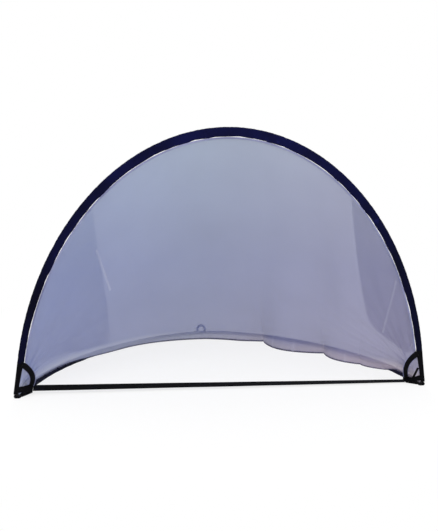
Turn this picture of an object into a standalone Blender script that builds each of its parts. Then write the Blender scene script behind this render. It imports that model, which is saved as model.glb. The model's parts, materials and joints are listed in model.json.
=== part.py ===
"""Pop-up practice goal: a spring-wire hoop folded into an upright front arch and a flat ground bow.

Both halves of the hoop run inside fabric sleeves and meet in two fabric corners. A fine net is
stretched from the arch down to the bow, a webbing strap ties the corners together across the mouth,
and a webbing loop at the back takes a ground peg. Metres; X across the mouth, Y into the goal,
Z up; the floor is Z = 0 and the origin is under the middle of the footprint.
"""

import math

import bmesh
import bpy
import numpy as np

# ---------------------------------------------------------------- driving dimensions
OVERALL_W = 1.200        # across the two corners
ARCH_H = 0.750           # outer edge of the arch above the fold axis, in its own plane
ARCH_LEAN = 6.0          # degrees the arch leans back when the net is taut
ARCH_POWER = 1.984       # superellipse power: 2 is an ellipse
ARCH_SWAY = 0.021        # the apex leans this far to +X
BOW_D = 0.796            # fold axis to the outer edge of the ground bow
BOW_POWER = 1.68
BOW_SWAY = 0.024
SMOOTH_ARC = 0.080       # the wire can't take a sharper change of direction than this length
CORNER_FLARE = 0.005     # the fabric corners stand this far outside the curves
CORNER_ARC = 0.090       # length of each corner piece along the wire
LEVEL_ARC = 0.030        # over this length from the axis the sections turn square to the axis
FOLD_GAP = 0.0005        # between the two halves of a corner
FOOT_SHIFT = 0.001       # the middle of the footprint is this far in front of the bow's own middle

WIRE_R = 0.0020          # spring steel wire
WIRE_ROOM = 0.00035      # clearance round the wire
SLEEVE_WALL = 0.00215    # fabric layers round the wire
FERRULE_WALL = 0.00085
GAP = 0.0003             # between pieces that touch
HEM_T = 0.0026           # sewn layers at the inner edge
ARCH_SLEEVE_W = (0.019, 0.029)   # at the corners, at the top
BOW_SLEEVE_W = 0.026
CUFF_W = (0.012, 0.018)  # corner fabric on the arch: at the fold, at the sleeve
POCKET_W = (0.020, 0.024)
NOSE_L = 0.008           # rounded tip in front of the fold axis
BORE_START = 0.006       # blind end of the wire channels
FERRULE_L = 0.036
FERRULE_ROOM = 0.0005    # the sleeve's channel is this much longer at each end
FERRULE_STEP = 0.001     # length over which the channel widens

TAPE_W = 0.0050          # light edge tape sewn inside the arch sleeve
NET_T = 0.0010
NET_EDGE_GAP = 0.0010    # from the tape to the middle of the net's edge
NET_HEM_GAP = 0.0012     # from the bow's hem to the end of the net
NET_SAG = (0.030, 0.010)         # slack at the +X side, at the -X side
NET_FLOOR_STRIP = 0.012  # strip of net that lies on the floor along the taut half
NET_ON_POCKET = 0.003    # the net ends this far over the corner pocket
NET_CORNER_Z = 0.0055
NET_CORNER_RATIO = 0.45  # least advance along the bow for an advance along the arch
BAG_CUSPS = ((0.088, 0.000), (0.135, 0.040), (0.226, 0.043), (0.366, 0.048), (0.620, 0.000))
BAG_SWELL = (0.016, 0.036, 0.075, 0.070)  # extra depth between two cusps
PANEL_LIFT = 0.0019      # middle of the outer layer from the middle of the net
PANEL_SEAMS = (0.285, 0.730)     # fractions of the arch where the outer layers are sewn
PANEL_ROWS = 11          # rows of the net that an outer layer covers
NET_DRIFT = ((0.0, 0.0), (0.285, 0.150), (0.62, 0.60), (1.0, 1.0))  # arch fraction, bow fraction
DRIFT_SMOOTH = 0.15

STRAP_W = 0.022
STRAP_T = 0.0016
STRAP_Y = 0.035          # behind the fold axis
STRAP_END_GAP = 0.0011   # the gusset's end is cut square to its slope
GUSSET_ROOT_GAP = 0.00095
STRAP_Z = (0.017, 0.0040)        # height of its middle at -X, at +X
STRAP_TILT = (34.0, 6.0)         # degrees, at -X, at +X
GUSSET_X = 0.050         # inner end of a corner gusset from the outside of the corner
GUSSET_ENDS = (0.004, 0.008)       # its root from the fold axis, from the end of the pocket
GUSSET_T = 0.0016
ARC_W = (0.013, 0.007)   # corner webbing: at the arch, at the gusset
ARC_T = 0.0016
ARC_LAP = 0.29           # the middle of its top end is this share of its width inside the cuff
ARC_CUFF_GAP = 0.0002    # it lies this far in front of the cuff's hem
ARC_TOP = 0.008          # its top end from the end of the cuff
ARC_BULGE = (0.068, 0.016, 0.062)  # middle control point: from the corner, behind the axis, height
ARC_END = (0.009, 0.004)           # its lower end from the strap's end: towards the corner, back
ARC_END_Z = (0.0160, 0.0060)       # height of that end at -X, at +X
TIE_W = 0.007
TIE_TOP_Z = 0.052
TIE_END = (0.017, -0.010, 0.0042)  # lower end from the strap's end: towards the corner, back, height
TIE_BEND = (-0.001, -0.004, 0.0)   # its middle control point from the straight line
LOOP_X = 0.004
LOOP_W = 0.036
LOOP_H = 0.034
LOOP_BAND = 0.008
LOOP_T = 0.0020
LOOP_AXIS_Z = 0.0040
LOOP_FOOT = 0.6          # band under the eye as a share of the other bands

BORE_R = WIRE_R + WIRE_ROOM          # channel for the wire
SLEEVE_R = BORE_R + SLEEVE_WALL      # roll of fabric round the wire
FERRULE_R = BORE_R + FERRULE_WALL
AXIS_Z = 3 * SLEEVE_R + FOLD_GAP     # fold axis above the floor
AXIS_Y = FOOT_SHIFT - BOW_D / 2      # fold axis from the middle of the footprint
ARC_FRONT = HEM_T + ARC_T / 2 + ARC_CUFF_GAP  # webbing's middle in front of the arch's middle plane

CORNER_STEPS = 4         # stations along a corner piece
SEGMENTS = 48            # stations along the whole arch or bow
RING = 12                # points round a sleeve
NET_ROWS = 12
FLOOR_ROWS = 3

for old in list(bpy.data.objects):
    bpy.data.objects.remove(old, do_unlink=True)

# ---------------------------------------------------------------- materials


def material(name, colour, roughness, metallic=0.0, alpha=1.0):
    mat = bpy.data.materials.new(name)
    mat.use_nodes = True
    shader = mat.node_tree.nodes["Principled BSDF"]
    shader.inputs["Base Color"].default_value = (*colour, 1.0)
    shader.inputs["Roughness"].default_value = roughness
    shader.inputs["Metallic"].default_value = metallic
    shader.inputs["Alpha"].default_value = alpha
    return mat


STEEL = ("spring_steel", (0.30, 0.30, 0.32), 0.35, 1.0)
NAVY = ("navy_polyester", (0.008, 0.010, 0.045), 0.60)
BLACK = ("black_webbing", (0.006, 0.006, 0.008), 0.75)
CORNER = ("black_corner_fabric", (0.005, 0.005, 0.010), 0.65)
MESH = ("net_mesh", (0.25, 0.26, 0.38), 0.80)
TAPE = ("edge_tape", (0.45, 0.46, 0.62), 0.75)

# ---------------------------------------------------------------- meshes


def add_object(name, verts, faces, look, origin=(0.0, 0.0, 0.0)):
    """One closed body; its origin is put at the given point."""
    origin = np.array(origin, float)
    mesh = bpy.data.meshes.new(name)
    mesh.from_pydata((np.asarray(verts, float) - origin).tolist(), [], faces)
    work = bmesh.new()
    work.from_mesh(mesh)
    bmesh.ops.recalc_face_normals(work, faces=work.faces)
    work.to_mesh(mesh)
    work.free()
    mesh.materials.append(material(name, *look[1:]))
    obj = bpy.data.objects.new(name, mesh)
    obj.location = origin
    bpy.context.scene.collection.objects.link(obj)
    return obj


def grid_faces(rows, cols, start=0, wrap=False):
    """Quads of a rows x cols grid of vertices; wrap joins the last column to the first."""
    faces = []
    for r in range(rows - 1):
        for c in range(cols if wrap else cols - 1):
            d = (c + 1) % cols
            a, b = start + r * cols, start + (r + 1) * cols
            faces.append((a + c, a + d, b + d, b + c))
    return faces


def rod(rings):
    """Solid swept body from a stack of rings, closed by flat ends."""
    rings = np.asarray(rings, float)
    count, size = rings.shape[:2]
    faces = grid_faces(count, size, wrap=True)
    faces.append(tuple(range(size - 1, -1, -1)))
    faces.append(tuple((count - 1) * size + k for k in range(size)))
    return rings.reshape(-1, 3), faces


def tube(outer, inner, blind=False):
    """Swept body with a channel; blind closes the channel and the body at the first ring."""
    outer, inner = np.asarray(outer, float), np.asarray(inner, float)
    size = outer.shape[1]
    base = len(outer) * size
    verts = np.concatenate([outer.reshape(-1, 3), inner.reshape(-1, 3)])
    faces = grid_faces(len(outer), size, wrap=True)
    faces += [f[::-1] for f in grid_faces(len(inner), size, start=base, wrap=True)]
    ends = [((len(outer) - 1) * size, base + (len(inner) - 1) * size)]
    if blind:
        faces.append(tuple(range(size - 1, -1, -1)))
        faces.append(tuple(base + k for k in range(size)))
    else:
        ends.append((0, base))
    for a, b in ends:
        faces += [(a + k, a + (k + 1) % size, b + (k + 1) % size, b + k) for k in range(size)]
    return verts, faces


def sheet(middle, thickness):
    """Thin solid round a rows x cols grid of middle points."""
    down = np.gradient(middle, axis=0)
    along = np.gradient(middle, axis=1)
    normal = np.cross(down, along)
    normal /= np.linalg.norm(normal, axis=2, keepdims=True)
    rows, cols = middle.shape[:2]
    half = normal * thickness / 2
    verts = np.concatenate([(middle + half).reshape(-1, 3), (middle - half).reshape(-1, 3)])
    base = rows * cols
    quads = grid_faces(rows, cols)
    top = [f for a, b, c, d in quads for f in ((a, b, c), (a, c, d))]
    faces = top + [tuple(base + k for k in f[::-1]) for f in top]
    rim = [(0, c) for c in range(cols - 1)] + [(r, cols - 1) for r in range(rows - 1)]
    rim += [(rows - 1, c) for c in range(cols - 1, 0, -1)] + [(r, 0) for r in range(rows - 1, 0, -1)]
    rim = [r * cols + c for r, c in rim]
    for a, b in zip(rim, rim[1:] + rim[:1]):
        faces.append((a, base + a, base + b, b))
    return verts, faces


def strip(centres, across, through, widths, thickness):
    """Webbing: a rectangle carried along points, wide along across and thin along through."""
    centres, across, through = (np.asarray(v, float) for v in (centres, across, through))
    half = np.asarray(widths, float)[:, None] / 2
    a = across * half
    t = through * thickness / 2
    return rod(np.stack([centres - a - t, centres + a - t, centres + a + t, centres - a + t], 1))


# ---------------------------------------------------------------- the two curves


def half_loop(rise, power, sway):
    """Points and running length of x = w sgn(cos t)|cos t|^(2/p) + sway y/rise, y = rise|sin t|^(2/p)."""
    t = np.linspace(0, math.pi, 6001)
    c, s = np.cos(t), np.sin(t)
    width = OVERALL_W / 2 - CORNER_FLARE
    y = rise * np.abs(s) ** (2 / power)
    x = width * np.sign(c) * np.abs(c) ** (2 / power) + sway * y / rise
    pts = even_points(np.stack([x, y], 1), 4001)
    reach = int(SMOOTH_ARC / 2 / running(pts)[1])
    kernel = np.hanning(2 * reach + 1)
    kernel /= kernel.sum()
    start = 2 * pts[0] - pts[reach:0:-1]
    end = 2 * pts[-1] - pts[-2:-reach - 2:-1]
    padded = np.concatenate([start, pts, end])
    pts = np.stack([np.convolve(padded[:, k], kernel, "valid") for k in (0, 1)], 1)
    arc = running(pts)
    slope = np.gradient(pts, arc, axis=0)
    out = np.stack([slope[:, 1], -slope[:, 0]], 1)
    near = np.minimum(arc, arc[-1] - arc)
    level = np.clip(1 - near / LEVEL_ARC, 0, 1)[:, None]
    out = out * (1 - level) + level * np.array([1.0, 0.0]) * np.sign(pts[:, :1])
    out /= np.linalg.norm(out, axis=1, keepdims=True)
    pts[:, 0] += np.sign(pts[:, 0]) * CORNER_FLARE * np.clip(1 - near / CORNER_ARC, 0, 1) ** 2
    return pts, running(pts), out


def running(pts):
    return np.concatenate([[0.0], np.cumsum(np.linalg.norm(np.diff(pts, axis=0), axis=1))])


def even_points(pts, count):
    arc = running(pts)
    at = np.linspace(0, arc[-1], count)
    return np.stack([np.interp(at, arc, pts[:, 0]), np.interp(at, arc, pts[:, 1])], 1)


def base_stations(length):
    corner = np.linspace(0, CORNER_ARC, CORNER_STEPS + 1)
    middle = np.linspace(CORNER_ARC, length - CORNER_ARC, SEGMENTS - 2 * CORNER_STEPS + 1)
    return np.concatenate([corner, middle[1:-1], length - corner[::-1]])


class Path:
    """A curve in a plane, cut into straight pieces at fixed stations."""

    def __init__(self, dense, origin, second, extra=()):
        pts, arc, out = dense
        self.length = arc[-1]
        self.base = base_stations(self.length)
        cut = np.array(sorted({*self.base[self.base != self.length / 2], *extra}))
        if extra:
            low, high = min(extra), max(extra)
            cut = cut[(cut <= low) | (cut >= high) | np.isin(cut, extra)]
        self.cut = cut
        self.pts = np.stack([np.interp(cut, arc, pts[:, k]) for k in (0, 1)], 1)
        out = np.stack([np.interp(cut, arc, out[:, k]) for k in (0, 1)], 1)
        self.out = out / np.linalg.norm(out, axis=1, keepdims=True)
        self.origin = np.array(origin, float)
        self.second = np.array(second, float)
        self.front = np.cross([1.0, 0.0, 0.0], self.second)

    def at(self, arc):
        """Outer edge and outward direction, on the straight pieces."""
        arc = np.atleast_1d(arc)
        pts = np.stack([np.interp(arc, self.cut, self.pts[:, k]) for k in (0, 1)], 1)
        out = np.stack([np.interp(arc, self.cut, self.out[:, k]) for k in (0, 1)], 1)
        before = np.minimum(arc, 0)
        pts[:, 1] += before
        return pts, out

    def place(self, arc, u, v):
        """3-D point: u outward from the outer edge, v along the plane's front."""
        pts, out = self.at(arc)
        flat = pts + out * np.atleast_1d(u)[:, None]
        spot = np.outer(flat[:, 0], [1.0, 0.0, 0.0]) + np.outer(flat[:, 1], self.second)
        return self.origin + spot + np.outer(np.broadcast_to(v, len(flat)), self.front)

    def rings(self, arcs, section):
        """section(arc) gives the (u, v) points of one ring."""
        stack = []
        for arc in arcs:
            uv = section(arc)
            stack.append(self.place(np.full(len(uv), arc), uv[:, 0], uv[:, 1]))
        return stack


LEAN = math.radians(ARCH_LEAN)
ARCH = Path(half_loop(ARCH_H, ARCH_POWER, ARCH_SWAY), (0, AXIS_Y, AXIS_Z),
            (0, math.sin(LEAN), math.cos(LEAN)))
bow_curve = half_loop(BOW_D, BOW_POWER, BOW_SWAY)
bow_mid = bow_curve[1][-1] / 2
step_in = FERRULE_L / 2 + FERRULE_ROOM
step_out = step_in + FERRULE_STEP
BOW = Path(bow_curve, (0, AXIS_Y, 0), (0, 1, 0),
           extra=(bow_mid - step_out, bow_mid - step_in, bow_mid + step_in, bow_mid + step_out))
AXIS_POINT = (0.0, AXIS_Y, AXIS_Z)

# ---------------------------------------------------------------- sections

ANGLES = np.radians(-120 + 360 / RING * np.arange(RING))


def circle(radius, height):
    """Round section whose middle is one sleeve radius inside the outer edge."""
    return np.stack([-SLEEVE_R + radius * np.cos(ANGLES), height + radius * np.sin(ANGLES)], 1)


def teardrop(width, height, hem=HEM_T, flat=False, radius=SLEEVE_R):
    """Fabric rolled round the wire and sewn flat at its inner edge; flat rests it on v = 0."""
    ring = circle(radius, height)
    ring[9:, 0] = -width
    level = height - radius + hem / 2 if flat else height
    ring[9:, 1] = level + np.array([0.5, 0.0, -0.5]) * hem
    if flat:
        ring[0, 1] = height - radius
    return ring


def arch_width(arc):
    low, high = ARCH_SLEEVE_W
    return low + (high - low) * math.sin(math.pi * arc / ARCH.length) ** 1.2


def ends(length, first, last):
    """Stations between two running lengths, the limits included."""
    keep = length[(length > first + 1e-4) & (length < last - 1e-4)]
    return np.concatenate([[first], keep, [last]])


# ---------------------------------------------------------------- wires and ferrule

wire_end = BORE_START + GAP
arcs = ends(ARCH.cut, wire_end, ARCH.length - wire_end)
add_object("arch_wire", *rod(ARCH.rings(arcs, lambda a: circle(WIRE_R, 0.0))), STEEL, AXIS_POINT)
for side, first, last in (("right", wire_end, bow_mid - GAP), ("left", bow_mid + GAP, BOW.length - wire_end)):
    arcs = ends(BOW.cut, first, last)
    add_object("ground_wire_" + side, *rod(BOW.rings(arcs, lambda a: circle(WIRE_R, SLEEVE_R))), STEEL)
arcs = (bow_mid - FERRULE_L / 2, bow_mid + FERRULE_L / 2)
add_object("wire_ferrule", *tube(BOW.rings(arcs, lambda a: circle(FERRULE_R, SLEEVE_R)),
                                 BOW.rings(arcs, lambda a: circle(BORE_R, SLEEVE_R))), STEEL)

# ---------------------------------------------------------------- sleeves and edge tape

arcs = ends(ARCH.cut, CORNER_ARC + GAP, ARCH.length - CORNER_ARC - GAP)
add_object("arch_sleeve", *tube(ARCH.rings(arcs, lambda a: teardrop(arch_width(a), 0.0)),
                                ARCH.rings(arcs, lambda a: circle(BORE_R, 0.0))), NAVY, AXIS_POINT)


def tape_section(arc):
    edge = -arch_width(arc) - GAP
    return np.array([[edge, -0.4], [edge - TAPE_W, -0.4], [edge - TAPE_W, 0.4], [edge, 0.4]]) * [1, HEM_T]


add_object("net_edge_tape", *rod(ARCH.rings(arcs, tape_section)), TAPE, AXIS_POINT)


def bow_bore(arc):
    wide = abs(arc - bow_mid) < step_in + FERRULE_STEP / 2
    return circle(FERRULE_R + WIRE_ROOM if wide else BORE_R, SLEEVE_R)


arcs = ends(BOW.cut, CORNER_ARC + GAP, BOW.length - CORNER_ARC - GAP)
add_object("ground_sleeve", *tube(BOW.rings(arcs, lambda a: teardrop(BOW_SLEEVE_W, SLEEVE_R, flat=True)),
                                  BOW.rings(arcs, bow_bore)), NAVY)

# ---------------------------------------------------------------- fabric corners


def cuff_width(arc):
    f = np.clip(arc / CORNER_ARC, 0, 1)
    return CUFF_W[0] + (CUFF_W[1] - CUFF_W[0]) * f


def pocket_width(arc):
    f = np.clip(arc / CORNER_ARC, 0, 1)
    return POCKET_W[0] + (POCKET_W[1] - POCKET_W[0]) * f


def cuff_section(arc):
    """Below the axis the cuff rounds off in a half turn about the axis."""
    ring = teardrop(cuff_width(arc), 0.0, hem=2 * HEM_T)
    if arc < 0:
        ring[:, 1] *= math.sqrt(1 - (arc / SLEEVE_R) ** 2)
    return ring


def pocket_section(arc):
    """In front of the axis the pocket closes to a rounded nose."""
    ring = teardrop(pocket_width(arc), SLEEVE_R, flat=True)
    if arc < 0:
        shrink = math.sqrt(1 - (arc / NOSE_L) ** 2)
        middle = -pocket_width(arc) / 2
        ring[:, 0] = middle + (ring[:, 0] - middle) * (0.35 + 0.65 * shrink)
        ring[:, 1] *= shrink
    return ring


def flipped(path, stack):
    """The same rings for the -X corner, placed along the path's far end."""
    out = []
    for arc, uv in stack:
        far = np.full(len(uv), path.length - max(arc, 0.0))
        ring = path.place(far, uv[:, 0], uv[:, 1])
        out.append(ring + min(arc, 0.0) * path.second)
    return out


end_steps = np.array([-0.97, -0.86, -0.6, -0.3])
for name, path, section, height, front_l, origin in (
        ("arch_cuff", ARCH, cuff_section, 0.0, SLEEVE_R, AXIS_POINT),
        ("corner_pocket", BOW, pocket_section, SLEEVE_R, NOSE_L, (0.0, 0.0, 0.0))):
    arcs = np.concatenate([end_steps * front_l, ends(path.cut, 0.0, CORNER_ARC)])
    bore_arcs = ends(path.cut, BORE_START, CORNER_ARC)
    outer = path.rings(arcs, section)
    inner = path.rings(bore_arcs, lambda a: circle(BORE_R, height))
    add_object(name + "_right", *tube(outer, inner, blind=True), CORNER, origin)
    outer = flipped(path, [(a, section(a)) for a in arcs])
    inner = flipped(path, [(a, circle(BORE_R, height)) for a in bore_arcs])
    add_object(name + "_left", *tube(outer, inner, blind=True), CORNER, origin)

# ---------------------------------------------------------------- net


def bag_depth(fraction):
    """How far the net spreads on the floor inside the bow: scallops between tacked cusps."""
    spots, depths = np.array(BAG_CUSPS).T
    depth = np.interp(fraction, spots, depths)
    for k, swell in enumerate(BAG_SWELL):
        s = np.clip((fraction - spots[k]) / (spots[k + 1] - spots[k]), 0, 1)
        depth = depth + swell * np.sin(math.pi * s) ** 0.75
    return np.maximum(depth, NET_FLOOR_STRIP)


def drift(fraction):
    """Where the thread that starts at this fraction of the arch meets the bow, smoothed."""
    f = np.linspace(-1, 2, 3001)
    spots, goals = np.array(NET_DRIFT).T
    inner = np.interp(np.clip(f, 0, 1), spots, goals)
    wide = np.where(f < 0, -np.interp(-f, spots, goals), inner)
    wide = np.where(f > 1, 2 - np.interp(2 - f, spots, goals), wide)
    kernel = np.hanning(int(DRIFT_SMOOTH * 1000) | 1)
    wide = np.convolve(wide, kernel / kernel.sum(), "same")
    return np.interp(fraction, f, wide)


a_arc = ARCH.base[1:-1]
b_arc = np.maximum(drift(a_arc / ARCH.length) * BOW.length, a_arc * NET_CORNER_RATIO)
a_near, b_near = (np.minimum(v, p.length - v) for v, p in ((a_arc, ARCH), (b_arc, BOW)))
on_sleeve = a_near > CORNER_ARC - 1e-6
edge = np.where(on_sleeve, [arch_width(a) + GAP + TAPE_W for a in a_arc], cuff_width(a_near))
top = ARCH.place(a_arc, -edge - NET_EDGE_GAP, 0.0)

over = np.clip((b_near - CORNER_ARC * 2 / 3) / (CORNER_ARC / 3), 0, 1)  # clears the pocket's edge
loose = np.clip((b_near - CORNER_ARC) / (CORNER_ARC / 2), 0, 1)[:, None]  # comes down to the floor
hem = (pocket_width(b_near) - NET_ON_POCKET) * (1 - over) + (BOW_SLEEVE_W + NET_HEM_GAP) * over
back = BOW.place(b_arc, -hem, NET_CORNER_Z + (HEM_T / 2 - NET_CORNER_Z) * loose[:, 0])
rise = (top - back) / np.linalg.norm(top - back, axis=1, keepdims=True)
flat = BOW.place(b_arc, -hem - bag_depth(b_arc / BOW.length), NET_T / 2 + GAP)
touch = (back + rise * NET_FLOOR_STRIP / 2) * (1 - loose) + flat * loose

s = np.linspace(0, 1, NET_ROWS + 1)[:, None, None]
slack = (NET_SAG[1] + (NET_SAG[0] - NET_SAG[1]) * (1 + top[:, 0] / (OVERALL_W / 2)) / 2)
slack = slack * np.linalg.norm(touch - top, axis=1) / BOW_D
fall = top + (touch - top) * s
fall[:, :, 2] -= slack * (4 * s * (1 - s))[:, :, 0]
r = np.linspace(0, 1, FLOOR_ROWS + 1)[1:, None, None]
net_middle = np.concatenate([fall, touch + (back - touch) * r])
add_object("net", *sheet(net_middle, NET_T), MESH)


def outer_layer(cols):
    """Second layer outside the net, from near a corner to a sewn seam."""
    grid = net_middle[1:PANEL_ROWS, cols]
    normal = np.cross(np.gradient(grid, axis=0), np.gradient(grid, axis=1))
    normal /= np.linalg.norm(normal, axis=2, keepdims=True)
    inside = np.array([0.0, AXIS_Y, ARCH_H / 4])
    sign = np.sign(np.sum((grid - inside) * normal, axis=2).mean())
    return grid + normal * sign * PANEL_LIFT


seams = [int(np.argmin(abs(a_arc / ARCH.length - f))) for f in PANEL_SEAMS]
add_object("net_panel_right", *sheet(outer_layer(slice(CORNER_STEPS, seams[0] + 1)), NET_T * 0.8), MESH)
add_object("net_panel_left", *sheet(outer_layer(slice(seams[1], len(a_arc) - CORNER_STEPS)), NET_T * 0.8),
           MESH)

# ---------------------------------------------------------------- base strap and gussets

gusset_x = OVERALL_W / 2 - GUSSET_X
strap_x = gusset_x - STRAP_END_GAP


def strap_state(x):
    """Middle height and tilt of the strap at x."""
    f = (x / strap_x + 1) / 2
    return (STRAP_Z[0] + (STRAP_Z[1] - STRAP_Z[0]) * f,
            np.radians(STRAP_TILT[0] + (STRAP_TILT[1] - STRAP_TILT[0]) * f))


xs = np.linspace(-strap_x, strap_x, 25)
z, tilt = strap_state(xs)
zero = np.zeros_like(xs)
centres = np.stack([xs, zero + AXIS_Y + STRAP_Y, z], 1)
across = np.stack([zero, np.cos(tilt), np.sin(tilt)], 1)
through = np.stack([zero, -np.sin(tilt), np.cos(tilt)], 1)
add_object("base_strap", *strip(centres, across, through, zero + STRAP_W, STRAP_T), BLACK)

for side, sign in (("left", -1), ("right", 1)):
    near = np.array([GUSSET_ENDS[0], CORNER_ARC - GUSSET_ENDS[1]])
    arcs = near if sign > 0 else BOW.length - near
    wide = pocket_width(near) + GUSSET_ROOT_GAP
    root = BOW.place(arcs, -wide, GUSSET_T / 2 + GAP)
    z, tilt = strap_state(sign * strap_x)
    half = np.array([0.0, math.cos(tilt), math.sin(tilt)]) * STRAP_W / 2
    tip = np.array([sign * gusset_x, AXIS_Y + STRAP_Y, z])
    inner = np.array([tip - half, tip + half])
    f = np.linspace(0, 1, 5)[:, None, None]
    rows = root + (inner - root) * f
    g = np.linspace(0, 1, 5)[None, :, None]
    grid = rows[:, :1] * (1 - g) + rows[:, 1:] * g
    add_object("corner_gusset_" + side, *sheet(grid, GUSSET_T), CORNER)

    # webbing arc from the arch to the inner end of the gusset
    start_arc = CORNER_ARC - ARC_TOP
    at = start_arc if sign > 0 else ARCH.length - start_arc
    start = ARCH.place(at, -cuff_width(start_arc) - ARC_W[0] * ARC_LAP - GAP, ARC_FRONT)[0]
    end = np.array([sign * (gusset_x + ARC_END[0]), AXIS_Y + STRAP_Y + ARC_END[1], ARC_END_Z[sign > 0]])
    middle = np.array([sign * (OVERALL_W / 2 - ARC_BULGE[0]), AXIS_Y + ARC_BULGE[1], ARC_BULGE[2]])
    f = np.linspace(0, 1, 13)[:, None]
    path = start * (1 - f) ** 2 + middle * 2 * f * (1 - f) + end * f ** 2
    run = np.gradient(path, axis=0)
    run /= np.linalg.norm(run, axis=1, keepdims=True)
    across = np.cross(run, [0.0, 1.0, 0.0])
    across /= np.linalg.norm(across, axis=1, keepdims=True)
    widths = ARC_W[0] + (ARC_W[1] - ARC_W[0]) * f[:, 0]
    add_object("corner_arc_" + side, *strip(path, across, np.cross(across, run), widths, ARC_T), BLACK)

# ---------------------------------------------------------------- closing tie of the right corner

start_arc = TIE_TOP_Z - AXIS_Z
start = ARCH.place(start_arc, -cuff_width(start_arc) - TIE_W / 2 - GAP, HEM_T)[0]
end = np.array([gusset_x + TIE_END[0], AXIS_Y + STRAP_Y + TIE_END[1], TIE_END[2]])
f = np.linspace(0, 1, 7)[:, None]
middle = (start + end) / 2 + np.array(TIE_BEND)
path = start * (1 - f) ** 2 + middle * 2 * f * (1 - f) + end * f ** 2
run = np.gradient(path, axis=0)
run /= np.linalg.norm(run, axis=1, keepdims=True)
across = np.cross(run, [0.0, 1.0, 0.0])
across /= np.linalg.norm(across, axis=1, keepdims=True)
add_object("closing_tie", *strip(path, across, np.cross(across, run), f[:, 0] * 0 + TIE_W, ARC_T), BLACK)

# ---------------------------------------------------------------- rear peg loop

local = BOW.at(np.linspace(bow_mid - LOOP_W * 2, bow_mid + LOOP_W * 2, 401))[0]
back_edge = local[abs(local[:, 0] - LOOP_X) < LOOP_W / 2, 1].max()
loop_y = AXIS_Y + back_edge + GAP + LOOP_T / math.sqrt(2)
turn = np.linspace(0, math.pi, 13)


def loop_outline(width, top, bottom, round_r):
    """Half-round top on straight legs, in (x, z) about the hinge axis."""
    x = width / 2 * np.cos(turn)
    z = top - round_r + round_r * np.sin(turn)
    return np.stack([np.append(x, [-width / 2, width / 2]), np.append(z, [bottom, bottom])], 1)


outer = loop_outline(LOOP_W, LOOP_H - LOOP_AXIS_Z, -LOOP_T / 2, LOOP_W / 2)
inner = loop_outline(LOOP_W - 2 * LOOP_BAND, LOOP_H - LOOP_AXIS_Z - LOOP_BAND, LOOP_BAND * LOOP_FOOT,
                     LOOP_W / 2 - LOOP_BAND)
count = len(outer)
rings = []
for uv, y in ((outer, -LOOP_T / 2), (outer, LOOP_T / 2), (inner, LOOP_T / 2), (inner, -LOOP_T / 2)):
    rings.append(np.stack([LOOP_X + uv[:, 0], np.full(count, loop_y + y), LOOP_AXIS_Z + uv[:, 1]], 1))
faces = grid_faces(4, count, wrap=True)
faces += [(3 * count + k, 3 * count + (k + 1) % count, (k + 1) % count, k) for k in range(count)]
add_object("rear_peg_loop", np.concatenate(rings), faces, BLACK, (LOOP_X, loop_y, LOOP_AXIS_Z))
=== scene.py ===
# %% [markdown]
# # A pop-up practice goal
#
# The goal is one loop of spring wire, folded so that half of it stands up as an arch and half lies
# on the ground as a bow. Each half runs inside a rolled fabric sleeve, and a fine net is stretched
# from one to the other. The solid model underneath already fixes every size, so this script only
# dresses it: sleeves with puckers, webbing with ribs, and a net with slack and folds.

# %% Load the frame
import json
import math

import bpy
import numpy as np
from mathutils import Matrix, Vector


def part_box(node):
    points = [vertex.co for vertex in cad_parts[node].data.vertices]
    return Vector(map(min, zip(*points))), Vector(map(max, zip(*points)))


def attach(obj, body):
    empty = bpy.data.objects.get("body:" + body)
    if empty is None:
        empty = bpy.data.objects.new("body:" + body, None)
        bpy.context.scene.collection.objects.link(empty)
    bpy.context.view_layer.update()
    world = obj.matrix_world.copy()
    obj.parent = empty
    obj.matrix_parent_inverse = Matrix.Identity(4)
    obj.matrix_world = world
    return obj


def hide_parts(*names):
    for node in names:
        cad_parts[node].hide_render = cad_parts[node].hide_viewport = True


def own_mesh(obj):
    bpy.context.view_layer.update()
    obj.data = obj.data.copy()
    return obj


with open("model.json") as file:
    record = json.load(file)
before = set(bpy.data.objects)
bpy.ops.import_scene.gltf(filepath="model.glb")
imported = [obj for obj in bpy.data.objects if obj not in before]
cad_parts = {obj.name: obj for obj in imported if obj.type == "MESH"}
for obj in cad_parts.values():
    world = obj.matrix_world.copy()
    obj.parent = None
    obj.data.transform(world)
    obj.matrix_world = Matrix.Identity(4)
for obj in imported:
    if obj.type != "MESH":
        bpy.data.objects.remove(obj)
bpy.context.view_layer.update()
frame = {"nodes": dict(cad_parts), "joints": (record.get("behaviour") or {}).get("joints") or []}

# %% [markdown]
# ## The two curves
#
# The same two curves carry every piece, so they are worked out once. Each is half of a superellipse,
# which is an ellipse whose power can be changed: near 2 it is a plain ellipse, as the upright arch
# is, and below 2 its shoulders flatten, as the ground bow's do. A short smoothing takes out any bend
# sharper than the wire could take. The width comes from the frame's boxes, the heights are given,
# and the shares and powers are the ones that the solid model was built with.

# %% Driving dimensions
FOLD = next(j for j in frame["joints"] if j["name"] == "arch_fold")
AXIS_Y, AXIS_Z = FOLD["pos_m"][1:]
HALF_W = (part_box("corner_pocket_right")[1].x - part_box("corner_pocket_left")[0].x) / 2
ARCH_LEAN = math.radians(6.0)
ARCH_H = 0.750
BOW_D = 0.796
ARCH_POWER, BOW_POWER = 1.984, 1.68
ARCH_SWAY, BOW_SWAY = 0.021, 0.024
SMOOTH_ARC = 0.080
CORNER_FLARE = 0.005
CORNER_ARC = 0.090
LEVEL_ARC = 0.030
SLEEVE_R = 0.0045
HEM_T = 0.0026
BOW_SLEEVE_W = 0.026
TAPE_W = 0.0050
GAP = 0.0003


# %% Curves and places
def running(pts):
    """Length run along the points so far."""
    return np.concatenate([[0.0], np.cumsum(np.linalg.norm(np.diff(pts, axis=0), axis=1))])


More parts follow.
